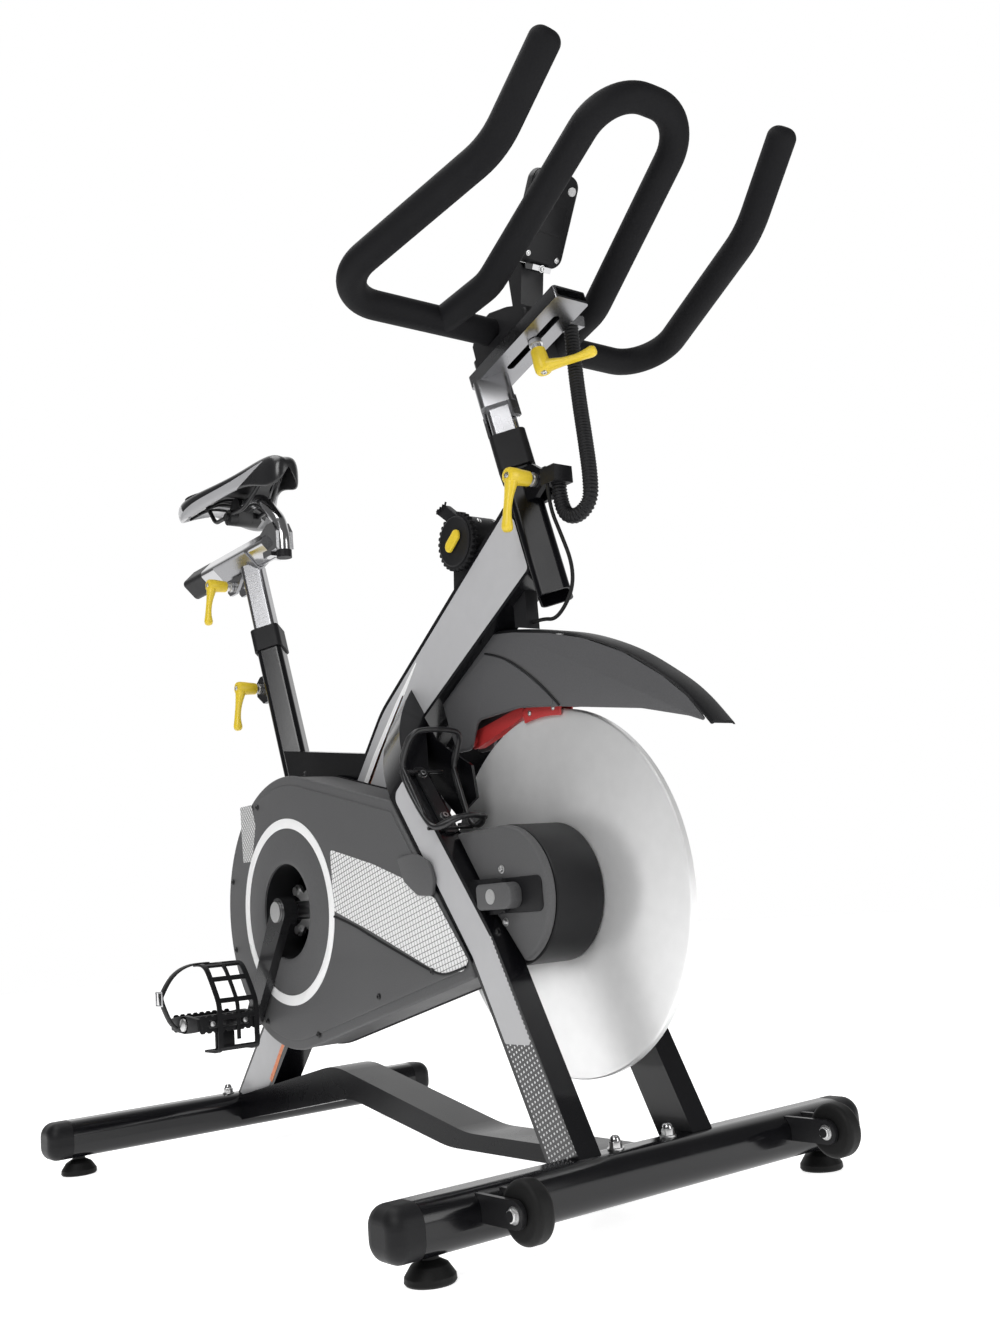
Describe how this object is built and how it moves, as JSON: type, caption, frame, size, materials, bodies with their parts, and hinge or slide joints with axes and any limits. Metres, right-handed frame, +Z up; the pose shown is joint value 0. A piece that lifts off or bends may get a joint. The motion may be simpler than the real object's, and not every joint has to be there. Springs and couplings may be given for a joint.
{
  "type": "spinning bike",
  "caption": "Indoor cycling exercise bike with front flywheel, belt guard, adjustable saddle and multi-grip handlebar, standing on two cross bars with levelling feet.",
  "frame": {"origin": "on the floor, at the middle of the bike's length and on its middle plane", "axes": "+X forward towards the handlebar, +Y to the rider's left, +Z up; the belt guard is on the right, -Y side"},
  "size_m": [1.2523, 0.664, 1.2081],
  "materials": {
    "gloss_black_paint": "gloss",
    "satin_grey_paint": "satin",
    "black_steel": "satin",
    "chrome_steel": "polished",
    "bright_steel": "brushed",
    "zinc_bolts": "zinc plated",
    "flywheel_steel": "turned and plated",
    "grey_cover": "fine grained",
    "black_plastic": "matte",
    "fender_grey": "satin",
    "yellow_plastic": "satin",
    "red_plastic": "satin",
    "light_plastic": "satin",
    "foam_grip": "matte foam",
    "black_rubber": "matte",
    "saddle_cover": "satin"
  },
  "bodies": {
    "frame": {"stabilisers": "gloss_black_paint", "stabiliser_end_caps": "black_plastic", "base_beam": "gloss_black_paint", "frame_bolts": "zinc_bolts", "wheel_brackets": "black_steel", "main_beam": "gloss_black_paint", "head_tube": "gloss_black_paint", "seat_tube": "gloss_black_paint", "post_collars": "black_plastic", "front_legs": "gloss_black_paint", "bottom_bracket_bearings": "bright_steel", "flywheel_axle": "zinc_bolts", "drive_belt": "black_rubber", "guard_outer": "grey_cover", "guard_inner": "black_plastic", "hub_cover": "grey_cover", "fender": "fender_grey", "shifter_housing": "black_plastic", "bottle_cage": "black_steel", "cable_fittings": "black_plastic", "cable_hose": "black_rubber", "sensor_cable": "black_rubber"},
    "flywheel_body": {"flywheel": "flywheel_steel", "flywheel_pulley": "bright_steel"},
    "crank_body": {"crank_axle": "bright_steel", "crank_arm_right": "bright_steel", "crank_arm_left": "bright_steel", "drive_pulley": "black_plastic", "crank_fasteners": "zinc_bolts", "pedal_spindles": "zinc_bolts"},
    "pedal_right_body": {"pedal_right": "black_plastic", "toe_cage_right": "black_plastic"},
    "pedal_left_body": {"pedal_left": "black_plastic", "toe_cage_left": "black_plastic"},
    "brake_body": {"brake_arm": "red_plastic", "brake_pad": "red_plastic"},
    "seat_post_body": {"seat_post": "bright_steel"},
    "slider_body": {"seat_slider": "chrome_steel", "slider_end_caps": "black_plastic", "saddle_clamp": "black_steel"},
    "saddle_body": {"saddle_rails": "black_steel", "saddle_base": "black_plastic", "saddle_pad": "saddle_cover"},
    "handlebar_post_body": {"handlebar_post": "bright_steel"},
    "carriage_body": {"handlebar_carriage": "black_steel", "handlebar": "foam_grip", "console": "black_plastic"},
    "console_button_body": {"console_button": "light_plastic"},
    "shifter_lever_body": {"shifter_lever": "black_plastic"},
    "shifter_button_body": {"shifter_button": "yellow_plastic"},
    "lever_head_body": {"lever_head": "yellow_plastic"},
    "lever_seat_post_body": {"lever_seat_post": "yellow_plastic"},
    "lever_seat_slider_body": {"lever_seat_slider": "yellow_plastic"},
    "lever_handlebar_body": {"lever_handlebar": "yellow_plastic"},
    "wheel_right_body": {"transport_wheel_right": "black_rubber"},
    "wheel_left_body": {"transport_wheel_left": "black_rubber"},
    "front_foot_right_body": {"front_foot_right": "black_rubber"},
    "front_foot_left_body": {"front_foot_left": "black_rubber"},
    "rear_foot_right_body": {"rear_foot_right": "black_rubber"},
    "rear_foot_left_body": {"rear_foot_left": "black_rubber"}
  },
  "joints": [
    {"name": "crank_spin", "type": "hinge", "parent": "frame", "child": "crank_body", "pos_m": [-0.168, 0, 0.349], "axis": [0, 1, 0], "continuous": true},
    {"name": "flywheel_spin", "type": "hinge", "parent": "frame", "child": "flywheel_body", "pos_m": [0.296, 0, 0.3456], "axis": [0, 1, 0], "continuous": true},
    {"name": "pedal_right_spin", "type": "hinge", "parent": "crank_body", "child": "pedal_right_body", "pos_m": [-0.26306, -0.17, 0.20806], "axis": [0, 1, 0], "continuous": true},
    {"name": "pedal_left_spin", "type": "hinge", "parent": "crank_body", "child": "pedal_left_body", "pos_m": [-0.07294, 0.17, 0.48994], "axis": [0, 1, 0], "continuous": true},
    {"name": "brake_swing", "type": "hinge", "parent": "frame", "child": "brake_body", "pos_m": [0.152, 0.01, 0.541], "axis": [0, 1, 0], "range_deg": [0, 0.85]},
    {"name": "seat_post_slide", "type": "slide", "parent": "frame", "child": "seat_post_body", "axis": [-0.3123, 0, 0.95], "range_m": [-0.06, 0.09]},
    {"name": "seat_slider_slide", "type": "slide", "parent": "seat_post_body", "child": "slider_body", "axis": [1, 0, 0], "range_m": [-0.03, 0.06]},
    {"name": "saddle_tilt", "type": "hinge", "parent": "slider_body", "child": "saddle_body", "pos_m": [-0.44, 0, 0.9965], "axis": [0, 1, 0], "range_deg": [-8, 8]},
    {"name": "handlebar_post_slide", "type": "slide", "parent": "frame", "child": "handlebar_post_body", "axis": [-0.2756, 0, 0.9613], "range_m": [-0.015, 0.09], "deforming": ["cable_hose"]},
    {"name": "handlebar_slide", "type": "slide", "parent": "handlebar_post_body", "child": "carriage_body", "axis": [0.9613, 0, 0.2756], "range_m": [-0.04, 0.04]},
    {"name": "console_button_press", "type": "slide", "parent": "carriage_body", "child": "console_button_body", "axis": [-0.866, 0, 0.5], "range_m": [0, 0.0015], "stiffness_N_per_m": 400},
    {"name": "shifter_turn", "type": "hinge", "parent": "frame", "child": "shifter_lever_body", "pos_m": [0.19, -0.027, 0.789], "axis": [0, 1, 0], "range_deg": [0, 45]},
    {"name": "shifter_button_press", "type": "slide", "parent": "shifter_lever_body", "child": "shifter_button_body", "axis": [0, 1, 0], "range_m": [0, 0.0015], "stiffness_N_per_m": 400},
    {"name": "lever_head_turn", "type": "hinge", "parent": "frame", "child": "lever_head_body", "pos_m": [0.338, -0.035, 0.827], "axis": [0, 1, 0], "range_deg": [-60, 60]},
    {"name": "lever_seat_post_turn", "type": "hinge", "parent": "frame", "child": "lever_seat_post_body", "pos_m": [-0.38, -0.035, 0.699], "axis": [0, 1, 0], "range_deg": [-60, 60]},
    {"name": "lever_seat_slider_turn", "type": "hinge", "parent": "seat_post_body", "child": "lever_seat_slider_body", "pos_m": [-0.462, -0.035, 0.884], "axis": [0, 1, 0], "range_deg": [-60, 60]},
    {"name": "lever_handlebar_turn", "type": "hinge", "parent": "carriage_body", "child": "lever_handlebar_body", "pos_m": [0.35116, 0, 0.98236], "axis": [0.2756, 0, -0.9613], "range_deg": [-5, 50]},
    {"name": "wheel_right_spin", "type": "hinge", "parent": "frame", "child": "wheel_right_body", "pos_m": [0.4795, -0.218, 0.06], "axis": [0, 1, 0], "continuous": true},
    {"name": "wheel_left_spin", "type": "hinge", "parent": "frame", "child": "wheel_left_body", "pos_m": [0.4795, 0.218, 0.06], "axis": [0, 1, 0], "continuous": true},
    {"name": "front_foot_right_turn", "type": "hinge", "parent": "frame", "child": "front_foot_right_body", "pos_m": [0.401, -0.278, 0.03], "axis": [0, 0, 1], "continuous": true},
    {"name": "front_foot_left_turn", "type": "hinge", "parent": "frame", "child": "front_foot_left_body", "pos_m": [0.401, 0.278, 0.03], "axis": [0, 0, 1], "continuous": true},
    {"name": "rear_foot_right_turn", "type": "hinge", "parent": "frame", "child": "rear_foot_right_body", "pos_m": [-0.511, -0.278, 0.03], "axis": [0, 0, 1], "continuous": true},
    {"name": "rear_foot_left_turn", "type": "hinge", "parent": "frame", "child": "rear_foot_left_body", "pos_m": [-0.511, 0.278, 0.03], "axis": [0, 0, 1], "continuous": true}
  ],
  "couplings": [
    {"joint": "crank_spin", "follows": "flywheel_spin", "ratio": 0.31579},
    {"joint": "brake_swing", "follows": "shifter_turn", "ratio": 0.018889}
  ]
}
